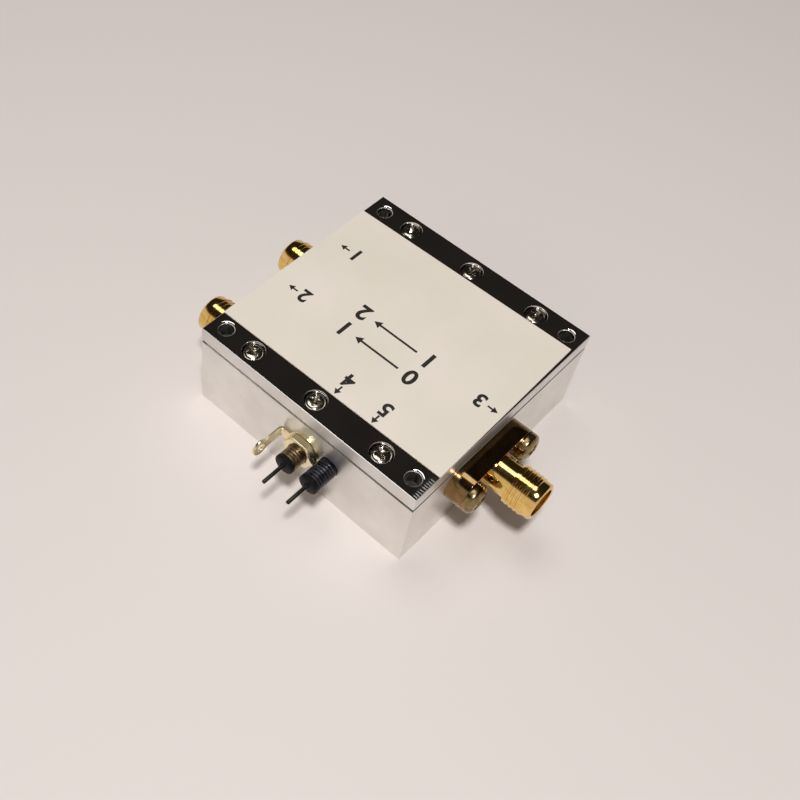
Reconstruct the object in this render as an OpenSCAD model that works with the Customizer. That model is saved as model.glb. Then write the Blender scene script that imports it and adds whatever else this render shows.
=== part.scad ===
// Coaxial switch module: a milled aluminium box with a screwed lid, one flanged jack on the
// +X end, two short jacks on the -X end and two wire feedthroughs on the -Y side.
// Millimetres. The origin is the middle of the housing's bottom face, and +Z is up.

/* [Housing] */
// Length of the housing, from the two-port end to the common end
body_l = 40; // [38:1:60]
// Width of the housing, from the feedthrough side to the far side
body_w = 40; // [40:1:60]
// Height of the milled housing without its lid
body_h = 13.5; // [13.5:0.5:20]
// Thickness of the two end walls that hold the jacks
end_wall = 4; // [3.5:0.25:5]
// Thickness of the two side walls that hold the lid screws
side_wall = 5; // [5:0.25:6]
// Thickness of the housing floor
floor_t = 3; // [2:0.5:4]
// Radius that the end mill leaves in the cavity's corners
cavity_r = 1.5; // [0.5:0.25:2]

/* [Lid] */
// Thickness of the lid
lid_t = 2.5; // [1.5:0.25:4]
// Distance of the screw rows and corner holes from the nearest outer edge
edge_inset = 2.5; // [2.3:0.1:2.7]
// Distance between neighbouring lid screws in a row
lid_screw_pitch = 12; // [10:0.5:13]
// Diameter of the four through holes in the corners
corner_hole_d = 2.2; // [1.8:0.1:2.6]
// Width of the chamfer round a corner hole, on the lid's top
corner_chamfer = 0.55; // [0.1:0.05:0.6]
// Distance of the label's end from the common edge of the lid; it is trimmed at the two-port edge
label_inset = 0.25; // [0.25:0.05:8]
// Width of the label
label_w = 30.6; // [20:0.2:30.8]
// Thickness of the label
label_t = 0.15; // [0.1:0.05:0.3]
// Sideways place of the label's middle line
label_y = 0.1; // [-0.1:0.05:0.1]
// Turn of the label from the lid's edges, as it is put on by hand
label_turn = 0.8; // [0:0.1:0.9]

/* [Lid screws] */
// Diameter of the lid screws' thread
lid_screw_d = 2; // [1.6:0.1:2.2]
// Diameter of the lid screws' countersunk head
lid_head_d = 3.8; // [3.2:0.1:4]
// Length of the lid screws, over all
lid_screw_l = 5; // [4:0.5:5.5]
// Depth of the head's top face below the lid's top
head_sink = 0.1; // [0:0.05:0.2]

/* [Coaxial jacks] */
// Distance of the three jack axes below the housing's rim
port_drop = 3.8; // [3.5:0.1:4]
// Distance of the second port's axis from the feedthrough side
port_edge = 7; // [6.8:0.1:7.4]
// Distance between the axes of the two port jacks; the common jack lies midway between them
port_pitch = 17.4; // [16:0.1:17.6]
// Diameter of the outside thread of the jacks
jack_thread_d = 6.35; // [6.2:0.05:6.4]
// Distance between two crests of the jack thread
jack_thread_pitch = 0.706; // [0.5:0.001:0.8]
// Depth of the jack thread
jack_thread_depth = 0.4; // [0.3:0.05:0.45]
// Length of the plain ring at the mouth of a jack
mouth_ring_l = 1.3; // [0.8:0.1:2]
// Diameter of the plain ring at the mouth of a jack
mouth_ring_d = 5.9; // [5.7:0.05:6]
// Chamfer round the mouth
mouth_chamfer = 0.3; // [0.1:0.05:0.5]
// Diameter of the open mouth, in front of the insulator
mouth_d = 4.6; // [4.4:0.05:4.8]
// Depth of the open mouth
mouth_depth = 1.9; // [1.5:0.1:2.5]
// Diameter of the insulator
insulator_d = 4.1; // [3.8:0.05:4.2]
// Diameter of the centre contact
contact_d = 1.27; // [1:0.01:1.4]
// Diameter of the socket in the centre contact
socket_d = 0.95; // [0.8:0.05:0.95]
// Depth of the socket in the centre contact
socket_depth = 3; // [2:0.1:3.5]
// Length of the contact that lies on the board
contact_tail = 2; // [1:0.1:2.5]
// Radial clearance of pieces that fit in one another
fit_gap = 0.02; // [0.01:0.01:0.05]

/* [Common jack] */
// Thickness of the flange
flange_t = 3; // [1.6:0.1:4]
// Length of the flange, over its round ends
flange_l = 16.4; // [16:0.1:18]
// Height of the flange
flange_h = 6; // [5.6:0.1:6.2]
// Distance of a flange screw's axis from the flange's nearest end
flange_screw_edge = 2.1; // [2:0.1:2.3]
// Diameter of the smooth neck behind the thread
neck_d = 5.4; // [5:0.1:6.2]
// Length of the smooth neck
neck_l = 3; // [1:0.1:5]
// Length of the common jack's thread
common_thread_l = 3.2; // [2.9:0.1:8]
// Diameter of the flange screws' thread
flange_screw_d = 2.5; // [2:0.1:2.6]
// Diameter of the flange screws' domed head
flange_head_d = 4.5; // [3.8:0.1:4.6]
// Height of the flange screws' head
flange_head_h = 1.6; // [1.2:0.1:2]
// Length of the flange screws' thread inside the wall
flange_screw_grip = 3; // [2:0.25:3.25]

/* [Port jacks] */
// Distance that a port jack stands out of the wall
port_reach = 5.3; // [4:0.1:9]
// Diameter of the thinner shank that screws into the wall
port_shank_d = 5; // [4.8:0.1:5.4]

/* [Feedthroughs] */
// Place of the supply feedthrough along the housing
supply_x = 1.1; // [0.5:0.1:1.5]
// Distance between the supply and control feedthroughs
feed_pitch = 4.6; // [4.5:0.1:5]
// Distance of the feedthrough axes below the housing's rim
feed_drop = 5.3; // [5.2:0.1:5.5]
// Diameter of the feedthrough thread
feed_d = 3.2; // [2.8:0.1:3.2]
// Distance between two crests of the feedthrough thread
feed_thread_pitch = 0.5; // [0.35:0.05:0.6]
// Depth of the feedthrough thread
feed_thread_depth = 0.18; // [0.1:0.02:0.24]
// Distance that a feedthrough sleeve stands out of the wall
feed_reach = 4.4; // [3:0.1:6]
// Distance that the solder pin stands out of the wall
feed_pin_reach = 8.5; // [7:0.1:10]
// Diameter of the solder pin
feed_pin_d = 0.6; // [0.4:0.05:0.8]
// Diameter of the pin's thicker part, from the seal's face inwards
feed_core_d = 1; // [0.9:0.05:1.2]
// Length of the solder pin inside the inner flange
feed_tail = 2.4; // [2:0.1:2.6]
// Diameter of the black seal in the sleeve
seal_d = 2.3; // [1.8:0.1:2.3]
// Depth of the seal's face inside the sleeve's end
seal_sink = 0.15; // [0.05:0.05:0.5]
// Diameter of the inner flange that bears on the wall
feed_flange_d = 4.2; // [3.8:0.1:4.3]
// Thickness of the inner flange
feed_flange_t = 1; // [0.6:0.1:1.2]
// Width of the nut across its flats
nut_flats = 5; // [4.6:0.1:5.2]
// Thickness of the nut
nut_t = 1.3; // [1:0.1:2]

/* [Ground lug] */
// Thickness of the lug's sheet
lug_t = 0.4; // [0.2:0.05:0.5]
// Outer diameter of the lug's ring
lug_ring_d = 5.6; // [5:0.1:5.6]
// Distance from the feedthrough axis to the outside of the bent tag
lug_arm = 4.6; // [4:0.1:6]
// Width of the tag
tag_w = 1.8; // [1.2:0.1:2.4]
// Distance that the tag stands out of the wall
tag_reach = 6; // [5:0.1:8]
// Diameter of the tag's round end
tag_eye_d = 2.8; // [2.4:0.1:3.2]
// Diameter of the wire hole in the tag's end
tag_hole_d = 1.4; // [1:0.1:1.6]
// Radius inside the tag's bend
tag_bend_r = 0.4; // [0.2:0.1:0.6]

/* [Circuit board] */
// Thickness of the board
board_t = 1; // [0.6:0.1:1.2]
// Gap between the board's edge and the cavity wall
board_gap = 0.2; // [0.1:0.05:0.4]
// Thickness of the plated lines, drawn thicker than they are so that they show
track_t = 0.05; // [0.03:0.01:0.1]
// Width of the radio lines
track_w = 1.1; // [0.8:0.1:1.6]
// Depth of the notch that the feedthrough tails stand in
notch_depth = 4.4; // [4:0.1:4.8]
// Room on each side of the tails in the notch
notch_room = 2.7; // [2.3:0.1:3]
// Width of the square posts under the board, and diameter of the round one
post_w = 5; // [4.5:0.1:5.4]
// Diameter of the board screws' thread
board_screw_d = 2; // [1.6:0.1:2.2]
// Diameter of the board screws' head
board_head_d = 3.6; // [3:0.1:4]
// Height of the board screws' head
board_head_h = 1.3; // [1:0.1:1.6]
// Length of the board screws' thread below the board
board_screw_grip = 3; // [2:0.25:3.5]
// Distance of the three corner screws from the cavity's end and side walls
screw_inset = 3; // [2.8:0.1:3.4]
// Distance of the fourth screw, between the two port lines, from the cavity's end wall
middle_screw_inset = 5; // [3.5:0.1:6]
// Width of the bare strips from the feedthroughs to the board
lead_w = 0.6; // [0.4:0.05:0.8]
// Thickness of the bare strips
lead_t = 0.2; // [0.1:0.05:0.3]
// Length over which a strip climbs from its tail to the board
lead_climb = 1.4; // [1.2:0.1:1.8]
// Length of the plated pad that a strip ends on, between its round ends
pad_l = 0.8; // [0.4:0.1:1]

/* [Parts on the board] */
// Place of the switch chip along the board
switch_x = 0.5; // [-0.5:0.1:1]
// Side of the square switch chip
switch_w = 4; // [3:0.1:4]
// Height of the switch chip
switch_h = 0.9; // [0.6:0.05:1.2]
// Length of the driver chip's body
driver_l = 4.9; // [4:0.1:5]
// Width of the driver chip's body
driver_w = 3.9; // [3:0.1:4]
// Height of the driver chip's body
driver_h = 1.5; // [1:0.1:1.75]
// Distance between two of the driver chip's legs
driver_leg_pitch = 1.27; // [1:0.01:1.27]
// Length of the regulator's body
regulator_l = 2.9; // [2.5:0.1:3]
// Width of the regulator's body
regulator_w = 1.6; // [1.2:0.1:1.8]
// Height of the regulator's body
regulator_h = 1.1; // [0.8:0.1:1.2]
// Length of a small chip part
chip_l = 1.6; // [1:0.1:1.6]
// Width of a small chip part
chip_w = 0.8; // [0.5:0.1:0.8]
// Height of a chip capacitor
capacitor_h = 0.8; // [0.5:0.1:0.8]
// Height of a chip resistor
resistor_h = 0.45; // [0.3:0.05:0.6]
// Side of the square choke
choke_w = 2.5; // [2:0.1:2.5]
// Height of the choke
choke_h = 1.8; // [1.2:0.1:2]
// Distance of the port lines' capacitors from the cavity's end wall
line_cap_inset = 8; // [7.6:0.1:8.4]
// Distance of the common line's capacitor from the cavity's end wall
common_cap_inset = 8.5; // [8:0.1:9]
// Distance of the row of bypass capacitors from the common line
bypass_row = 4.7; // [4.4:0.1:5]
// Distance between the two capacitors of that row
bypass_pitch = 2.4; // [2:0.1:3]
// Distance of the row of resistors from the common line
resistor_row = 8.5; // [8:0.1:9]
// Distance between two neighbouring resistors
resistor_pitch = 1.5; // [1.2:0.1:1.6]
// Distance of the driver chip's middle from the cavity's end wall
driver_inset = 7.8; // [7.6:0.1:8]
// Distance of the driver chip's middle from the common line
driver_row = 9.5; // [9:0.1:9.8]
// Distance of the driver's own bypass capacitor from its middle
driver_cap_row = 4.6; // [4.4:0.1:5]
// Distance of the regulator's middle from the control feedthrough, along the board
regulator_offset = 3.6; // [3.4:0.1:4]
// Distance of the regulator's middle from the cavity's side wall
regulator_inset = 6.4; // [6.2:0.1:6.8]
// Distance of the regulator's own bypass capacitor from its middle
regulator_cap_offset = 2.6; // [2.4:0.1:2.8]
// Distance of the choke from the cavity's side wall
choke_inset = 7; // [6.8:0.1:7.2]
// Distance of the supply and control pads from the edge of the board's notch
pad_inset = 1.4; // [1.2:0.1:1.8]

/* [Hidden] */
$fn = 64;
// A hair of overlap between a cutter and the face that it opens
cut = 0.05;
// Radial gap of a screw in its hole in a loose piece, and of the lid screws in the housing
slide_gap = 0.05;
// Room under a screw's tip in its tapped hole
thread_run_out = 0.3;

// Outer faces, inner faces and the planes that pieces are stacked on
end_x = body_l / 2;
side_y = body_w / 2;
inner_x = end_x - end_wall;
inner_y = side_y - side_wall;
lid_top = body_h + lid_t;
port_z = body_h - port_drop;
feed_z = body_h - feed_drop;
board_top = port_z - contact_d / 2 - track_t;
board_bottom = board_top - board_t;
port_2_y = -side_y + port_edge;
port_1_y = port_2_y + port_pitch;
port_y = port_2_y + port_pitch / 2;
control_x = supply_x + feed_pitch;

// Screw places, as [x, y]
hole_x = end_x - edge_inset;
hole_y = side_y - edge_inset;
corner_places = [for (sx = [-1, 1], sy = [-1, 1]) [sx * hole_x, sy * hole_y]];
lid_screw_places = [for (i = [-1, 0, 1], sy = [-1, 1]) [i * lid_screw_pitch, sy * hole_y]];
board_screw_places = [
    [inner_x - screw_inset, inner_y - screw_inset],
    [inner_x - screw_inset, -inner_y + screw_inset],
    [-inner_x + screw_inset, inner_y - screw_inset],
    [-inner_x + middle_screw_inset, port_y]
];
flange_screw_pitch = flange_l - 2 * flange_screw_edge;

// Jack lengths along their axes, counted outwards from the wall's outer face
common_thread_z = flange_t + neck_l;
common_reach = common_thread_z + common_thread_l + mouth_ring_l;

// Cross recess of the small screws
recess_w = 0.5;
recess_depth = 0.6;
lid_recess_l = 2.2;
board_recess_l = 2;
flange_recess_l = 2.6;

// Places of the parts on the board, as [x, y]
line_cap_x = -inner_x + line_cap_inset;
common_cap_x = inner_x - common_cap_inset;
driver_place = [inner_x - driver_inset, port_y + driver_row];
regulator_place = [control_x + regulator_offset, -inner_y + regulator_inset];
choke_place = [(supply_x + control_x) / 2, -inner_y + choke_inset];
bypass_places = [
    [switch_x - 0.9, port_y + bypass_row],
    [switch_x - 0.9 + bypass_pitch, port_y + bypass_row],
    [driver_place[0], driver_place[1] + driver_cap_row],
    [regulator_place[0] + regulator_cap_offset, regulator_place[1]]
];
resistor_places = [for (i = [0, 1, 2])
    [switch_x + 1 - i * resistor_pitch, port_y + resistor_row]];
board_edge_y = -inner_y + board_gap + notch_depth;
lead_pad_y = board_edge_y + pad_inset;
// Distance of a strip's end from the feedthrough's inner flange
lead_end_gap = 0.5;

// Shapes that several pieces share

module rounded_plan(l, w, r) {
    square([l, w - 2 * r], center = true);
    square([l - 2 * r, w], center = true);
    for (sx = [-1, 1], sy = [-1, 1])
        translate([sx * (l / 2 - r), sy * (w / 2 - r)]) circle(r = r);
}

// Long round-ended plate outline, with its long side along Y
module stadium_plan(l, h) {
    square([h, l - h], center = true);
    for (s = [-1, 1])
        translate([0, s * (l - h) / 2]) circle(d = h);
}

// Outline of an outside thread, as [radius, height] points. It is drawn as rings of the right pitch
function thread_outline(d, from, length, pitch, depth) =
    let (count = floor(length / pitch), step = length / count, crest = d / 2, root = d / 2 - depth)
    [for (i = [0 : count - 1]) each [[root, from + (i + 0.08) * step], [crest, from + (i + 0.42) * step],
        [crest, from + (i + 0.58) * step], [root, from + (i + 0.92) * step]]];

// Crossed slots that leave a screw head's face at z = 0 and go down
module cross_recess(l) {
    for (a = [0, 90])
        rotate([0, 0, a])
            translate([-l / 2, -recess_w / 2, -recess_depth]) cube([l, recess_w, recess_depth + cut]);
}

// Puts a piece drawn along +Z on the common end, the port end or the feedthrough side
module on_common_end() {
    translate([end_x, port_y, port_z]) rotate([0, 90, 0]) children();
}

module on_port_end(y) {
    translate([-end_x, y, port_z]) rotate([0, -90, 0]) children();
}

module on_feed_side(x) {
    translate([x, -side_y, feed_z]) rotate([90, 0, 0]) children();
}

// Housing and lid

module housing_body() {
    color("gainsboro") difference() {
        union() {
            difference() {
                translate([-end_x, -side_y, 0]) cube([body_l, body_w, body_h]);
                translate([0, 0, floor_t])
                    linear_extrude(body_h) rounded_plan(2 * inner_x, 2 * inner_y, cavity_r);
            }
            board_posts();
        }
        for (p = corner_places)
            translate([p[0], p[1], -cut]) cylinder(d = corner_hole_d, h = body_h + 2 * cut);
        for (p = lid_screw_places)
            translate([p[0], p[1], lid_top - head_sink - lid_screw_l - thread_run_out])
                cylinder(r = lid_screw_d / 2 + slide_gap, h = body_h);
        for (p = board_screw_places)
            translate([p[0], p[1], board_bottom - board_screw_grip - thread_run_out])
                cylinder(r = board_screw_d / 2 + fit_gap, h = body_h);
        on_common_end() common_wall_holes();
        for (y = [port_1_y, port_2_y])
            on_port_end(y)
                translate([0, 0, -end_wall - cut])
                    cylinder(r = port_shank_d / 2 + fit_gap, h = end_wall + 2 * cut);
        for (x = [supply_x, control_x])
            on_feed_side(x)
                translate([0, 0, -side_wall - cut])
                    cylinder(r = feed_d / 2 + fit_gap, h = side_wall + 2 * cut);
    }
}

// Posts under the board: three square ones fill corners of the cavity, a round one stands free
module board_posts() {
    post_h = board_bottom - floor_t + cut;
    corner_w = screw_inset + post_w / 2 + cut;
    for (i = [0, 1, 2]) {
        p = board_screw_places[i];
        corner_x = sign(p[0]) * (inner_x + cut - corner_w / 2);
        corner_y = sign(p[1]) * (inner_y + cut - corner_w / 2);
        translate([corner_x, corner_y, floor_t - cut])
            linear_extrude(post_h) square(corner_w, center = true);
    }
    translate([board_screw_places[3][0], board_screw_places[3][1], floor_t - cut])
        cylinder(d = post_w, h = post_h);
}

module common_wall_holes() {
    translate([0, 0, -end_wall - cut])
        cylinder(r = insulator_d / 2 + fit_gap, h = end_wall + 2 * cut);
    for (s = [-1, 1])
        translate([0, s * flange_screw_pitch / 2, -flange_screw_grip - thread_run_out])
            cylinder(r = flange_screw_d / 2 + fit_gap, h = flange_screw_grip + thread_run_out + cut);
}

module lid() {
    head_h = (lid_head_d - lid_screw_d) / 2;
    color("silver") difference() {
        translate([-end_x, -side_y, body_h]) cube([body_l, body_w, lid_t]);
        for (p = corner_places)
            translate([p[0], p[1], 0]) {
                translate([0, 0, body_h - cut]) cylinder(d = corner_hole_d, h = lid_t + 2 * cut);
                translate([0, 0, lid_top - corner_chamfer])
                    cylinder(d1 = corner_hole_d, d2 = corner_hole_d + 2 * corner_chamfer + 2 * cut,
                        h = corner_chamfer + cut);
            }
        for (p = lid_screw_places)
            translate([p[0], p[1], 0]) {
                translate([0, 0, body_h - cut])
                    cylinder(r = lid_screw_d / 2 + slide_gap, h = lid_t + 2 * cut);
                translate([0, 0, lid_top - head_sink - head_h])
                    cylinder(r1 = lid_screw_d / 2 + slide_gap, r2 = lid_head_d / 2 + slide_gap,
                        h = head_h);
                translate([0, 0, lid_top - head_sink])
                    cylinder(r = lid_head_d / 2 + slide_gap, h = head_sink + cut);
            }
    }
}

module lid_label() {
    color("linen") translate([0, 0, lid_top]) linear_extrude(label_t) intersection() {
        translate([-end_x, -side_y]) square([body_l, body_w]);
        translate([0, label_y]) rotate(label_turn) translate([-body_l, -label_w / 2])
            square([body_l + end_x - label_inset, label_w]);
    }
}

module lid_screws() {
    head_h = (lid_head_d - lid_screw_d) / 2;
    color("lightgray") for (p = lid_screw_places)
        translate([p[0], p[1], lid_top - head_sink]) difference() {
            union() {
                translate([0, 0, -head_h]) cylinder(d1 = lid_screw_d, d2 = lid_head_d, h = head_h);
                translate([0, 0, -lid_screw_l]) cylinder(d = lid_screw_d, h = lid_screw_l - head_h / 2);
            }
            cross_recess(lid_recess_l);
        }
}

// Coaxial jacks, drawn along +Z from the wall's outer face

// Shank, thread and mouth ring turned from one bar, without the bore
module jack_barrel(from, shank_d, thread_from, thread_l) {
    root = jack_thread_d / 2 - jack_thread_depth;
    ring_from = thread_from + thread_l;
    reach = ring_from + mouth_ring_l;
    thread = thread_outline(jack_thread_d, thread_from, thread_l, jack_thread_pitch,
        jack_thread_depth);
    rotate_extrude()
        polygon(concat(
            [[0, from], [shank_d / 2, from], [shank_d / 2, thread_from], [root, thread_from]],
            thread,
            [[root, ring_from], [mouth_ring_d / 2, ring_from], [mouth_ring_d / 2, reach - mouth_chamfer],
                [mouth_ring_d / 2 - mouth_chamfer, reach], [0, reach]]
        ));
}

module jack_bore(from, reach) {
    translate([0, 0, from - cut])
        cylinder(r = insulator_d / 2 + fit_gap, h = reach - from + 2 * cut);
    translate([0, 0, reach - mouth_depth])
        cylinder(d = mouth_d, h = mouth_depth + cut);
}

module jack_insulator(from, reach) {
    color("white") difference() {
        translate([0, 0, from]) cylinder(d = insulator_d, h = reach - mouth_depth - from);
        translate([0, 0, from - cut])
            cylinder(r = contact_d / 2 + fit_gap, h = reach - from);
    }
}

module jack_contact(from, reach) {
    face = reach - mouth_depth;
    slot_w = 0.12;
    color("gold") difference() {
        translate([0, 0, from]) cylinder(d = contact_d, h = face - from);
        translate([0, 0, face - socket_depth]) cylinder(d = socket_d, h = socket_depth + cut);
        translate([-contact_d, -slot_w / 2, face - socket_depth])
            cube([2 * contact_d, slot_w, socket_depth + cut]);
    }
}

module common_jack_body() {
    color("goldenrod") on_common_end() difference() {
        union() {
            linear_extrude(flange_t) stadium_plan(flange_l, flange_h);
            jack_barrel(0, neck_d, common_thread_z, common_thread_l);
        }
        jack_bore(0, common_reach);
        for (s = [-1, 1])
            translate([0, s * flange_screw_pitch / 2, -cut])
                cylinder(r = flange_screw_d / 2 + slide_gap, h = flange_t + 2 * cut);
    }
}

module common_jack_insulator() {
    on_common_end() jack_insulator(-end_wall, common_reach);
}

module common_jack_contact() {
    on_common_end() jack_contact(-end_wall - contact_tail, common_reach);
}

module common_jack_screws() {
    color("tan") on_common_end() for (s = [-1, 1])
        translate([0, s * flange_screw_pitch / 2, flange_t]) difference() {
            union() {
                domed_head(flange_head_d, flange_head_h);
                translate([0, 0, -flange_t - flange_screw_grip])
                    cylinder(d = flange_screw_d, h = flange_t + flange_screw_grip + cut);
            }
            translate([0, 0, flange_head_h]) cross_recess(flange_recess_l);
        }
}

// Pan head with a rounded rim, from z = 0 up
module domed_head(d, h) {
    rim_r = h * 0.45;
    rotate_extrude() {
        square([d / 2, h - rim_r]);
        square([d / 2 - rim_r, h]);
        translate([d / 2 - rim_r, h - rim_r]) circle(r = rim_r, $fn = 32);
    }
}

module port_jack_body(y) {
    thread_l = port_reach - mouth_ring_l;
    color("goldenrod") on_port_end(y) difference() {
        jack_barrel(-end_wall, port_shank_d, 0, thread_l);
        jack_bore(-end_wall, port_reach);
    }
}

module port_1_jack_body() {
    port_jack_body(port_1_y);
}

module port_1_jack_insulator() {
    on_port_end(port_1_y) jack_insulator(-end_wall, port_reach);
}

module port_1_jack_contact() {
    on_port_end(port_1_y) jack_contact(-end_wall - contact_tail, port_reach);
}

module port_2_jack_body() {
    port_jack_body(port_2_y);
}

module port_2_jack_insulator() {
    on_port_end(port_2_y) jack_insulator(-end_wall, port_reach);
}

module port_2_jack_contact() {
    on_port_end(port_2_y) jack_contact(-end_wall - contact_tail, port_reach);
}

// Feedthroughs, drawn along +Z from the wall's outer face

module feedthrough_body() {
    bore = seal_d / 2 + fit_gap;
    root = feed_d / 2 - feed_thread_depth;
    inner_z = -side_wall - feed_flange_t;
    thread_l = feed_reach - feed_thread_depth;
    rotate_extrude()
        polygon(concat(
            [[bore, inner_z], [feed_flange_d / 2, inner_z], [feed_flange_d / 2, -side_wall],
                [feed_d / 2, -side_wall], [feed_d / 2, 0], [root, 0]],
            thread_outline(feed_d, 0, thread_l, feed_thread_pitch, feed_thread_depth),
            [[root, feed_reach], [bore, feed_reach]]
        ));
}

module feedthrough_seal() {
    inner_z = -side_wall - feed_flange_t;
    color("black") difference() {
        translate([0, 0, inner_z]) cylinder(d = seal_d, h = feed_reach - seal_sink - inner_z);
        translate([0, 0, inner_z - cut])
            cylinder(r = feed_core_d / 2 + fit_gap, h = feed_reach - inner_z + 2 * cut);
    }
}

module feedthrough_pin() {
    from = -side_wall - feed_flange_t - feed_tail;
    seal_face = feed_reach - seal_sink;
    color("dimgray") union() {
        translate([0, 0, from]) cylinder(d = feed_core_d, h = seal_face - from);
        translate([0, 0, from]) cylinder(d = feed_pin_d, h = feed_pin_reach - from);
    }
}

module supply_feedthrough_body() {
    color("darkkhaki") on_feed_side(supply_x) feedthrough_body();
}

module supply_feedthrough_seal() {
    on_feed_side(supply_x) feedthrough_seal();
}

module supply_feedthrough_pin() {
    on_feed_side(supply_x) feedthrough_pin();
}

module supply_feedthrough_nut() {
    color("gold") on_feed_side(supply_x) translate([0, 0, lug_t]) difference() {
        rotate([0, 0, 30]) cylinder(d = nut_flats / cos(30), h = nut_t, $fn = 6);
        translate([0, 0, -cut]) cylinder(r = feed_d / 2 + fit_gap, h = nut_t + 2 * cut);
    }
}

module control_feedthrough_body() {
    color("dimgray") on_feed_side(control_x) feedthrough_body();
}

module control_feedthrough_seal() {
    on_feed_side(control_x) feedthrough_seal();
}

module control_feedthrough_pin() {
    on_feed_side(control_x) feedthrough_pin();
}

// Ring under the nut, with an arm along the wall that bends out into the solder tag
module ground_lug() {
    bend_out = tag_bend_r + lug_t;
    arm_end = lug_arm - bend_out;
    eye_z = tag_reach - tag_eye_d / 2;
    color("khaki") on_feed_side(supply_x) difference() {
        union() {
            cylinder(d = lug_ring_d, h = lug_t);
            translate([-arm_end, -tag_w / 2, 0]) cube([arm_end, tag_w, lug_t]);
            translate([-arm_end, tag_w / 2, bend_out]) rotate([90, 0, 0])
                linear_extrude(tag_w) bend_plan(bend_out);
            translate([-lug_arm, -tag_w / 2, bend_out]) cube([lug_t, tag_w, eye_z - bend_out]);
            translate([-lug_arm, 0, eye_z]) rotate([0, 90, 0]) cylinder(d = tag_eye_d, h = lug_t);
        }
        translate([0, 0, -cut]) cylinder(r = feed_d / 2 + slide_gap, h = lug_t + 2 * cut);
        translate([-lug_arm - cut, 0, eye_z]) rotate([0, 90, 0])
            cylinder(d = tag_hole_d, h = lug_t + 2 * cut);
    }
}

// Quarter ring of the bent sheet, in the lower left quarter round the bend's centre
module bend_plan(outer_r) {
    intersection() {
        difference() {
            circle(r = outer_r);
            circle(r = outer_r - lug_t);
        }
        translate([-outer_r, -outer_r]) square(outer_r);
    }
}

// Bare strip that lies on a feedthrough's tail and climbs over the board's edge to its pad
module lead(x) {
    tail_top = feed_z + feed_core_d / 2;
    pad_top = board_top + track_t;
    underside = [
        [-inner_y + feed_flange_t + lead_end_gap, tail_top],
        [board_edge_y - lead_climb, tail_top],
        [board_edge_y, pad_top],
        [lead_pad_y + pad_l, pad_top]
    ];
    top_side = [for (i = [3 : -1 : 0]) underside[i] + [0, lead_t]];
    color("silver") translate([x - lead_w / 2, 0, 0]) rotate([90, 0, 90])
        linear_extrude(lead_w) polygon(concat(underside, top_side));
}

module supply_lead() {
    lead(supply_x);
}

module control_lead() {
    lead(control_x);
}

// Circuit board and its parts

module circuit_board() {
    half_l = inner_x - board_gap;
    half_w = inner_y - board_gap;
    corner = max(cavity_r - board_gap, 0.5);
    color("darkgreen") difference() {
        translate([0, 0, board_bottom])
            linear_extrude(board_t) rounded_plan(2 * half_l, 2 * half_w, corner);
        translate([supply_x - notch_room, -side_y, board_bottom - cut])
            cube([feed_pitch + 2 * notch_room, side_y - half_w + notch_depth, board_t + 2 * cut]);
        for (p = board_screw_places)
            translate([p[0], p[1], board_bottom - cut])
                cylinder(r = board_screw_d / 2 + slide_gap, h = board_t + 2 * cut);
    }
}

// Straight plated line between two points of the board
module track(from, to, w) {
    run = to - from;
    translate([from[0], from[1], board_top]) rotate([0, 0, atan2(run[1], run[0])])
        translate([0, -w / 2, 0]) cube([norm(run), w, track_t]);
    for (p = [from, to])
        translate([p[0], p[1], board_top]) cylinder(d = w, h = track_t, $fn = 32);
}

module board_tracks() {
    track_end_x = inner_x - board_gap - track_w / 2 - 0.2;
    fan_x = switch_x - 4.5;
    color("goldenrod") union() {
        track([switch_x + 1, port_y], [track_end_x, port_y], track_w);
        for (s = [-1, 1]) {
            y = port_y + s * port_pitch / 2;
            track([switch_x - 1, port_y + s * 1.2], [fan_x, y], track_w);
            track([fan_x, y], [-track_end_x, y], track_w);
        }
        for (x = [supply_x, control_x])
            track([x, lead_pad_y], [x, lead_pad_y + pad_l], track_w);
    }
}

module board_screws() {
    color("lightgray") for (p = board_screw_places)
        translate([p[0], p[1], board_top]) difference() {
            union() {
                domed_head(board_head_d, board_head_h);
                translate([0, 0, -board_t - board_screw_grip])
                    cylinder(d = board_screw_d, h = board_t + board_screw_grip + cut);
            }
            translate([0, 0, board_head_h]) cross_recess(board_recess_l);
        }
}

// Puts a part drawn from z = 0 up on the board, or on a plated line
module on_board(place, turn, lift) {
    translate([place[0], place[1], board_top + lift]) rotate([0, 0, turn]) children();
}

// Block with metal end caps that stand a little proud of it
module chip_part(h) {
    cap_l = 0.3;
    proud = 0.02;
    translate([-chip_l / 2, -chip_w / 2 + proud, proud])
        cube([chip_l, chip_w - 2 * proud, h - 2 * proud]);
    for (s = [-1, 1])
        translate([s * (chip_l - cap_l) / 2 - cap_l / 2, -chip_w / 2, 0]) cube([cap_l, chip_w, h]);
}

module rf_switch_chip() {
    color("#222222") on_board([switch_x, port_y], 0, track_t)
        translate([-switch_w / 2, -switch_w / 2, 0]) cube([switch_w, switch_w, switch_h]);
}

// Bent leg of a chip, with its foot on the board and its top end at the body's side
module gull_leg(reach, top, w) {
    leg_t = 0.2;
    translate([0, -w / 2, top - leg_t]) cube([reach / 2, w, leg_t]);
    translate([reach / 2 - leg_t / 2, -w / 2, 0]) cube([leg_t, w, top]);
    translate([reach / 2 - leg_t / 2, -w / 2, 0]) cube([reach / 2 + leg_t / 2, w, leg_t]);
}

module driver_chip() {
    stand = 0.15;
    leg_reach = 1.05;
    color("#2a2a2a") on_board(driver_place, 0, 0) union() {
        translate([-driver_l / 2, -driver_w / 2, stand]) cube([driver_l, driver_w, driver_h - stand]);
        for (i = [-1.5, -0.5, 0.5, 1.5], a = [90, -90])
            translate([i * driver_leg_pitch, sign(a) * (driver_w / 2 - cut), 0]) rotate([0, 0, a])
                gull_leg(leg_reach, driver_h / 2, 0.42);
    }
}

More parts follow.
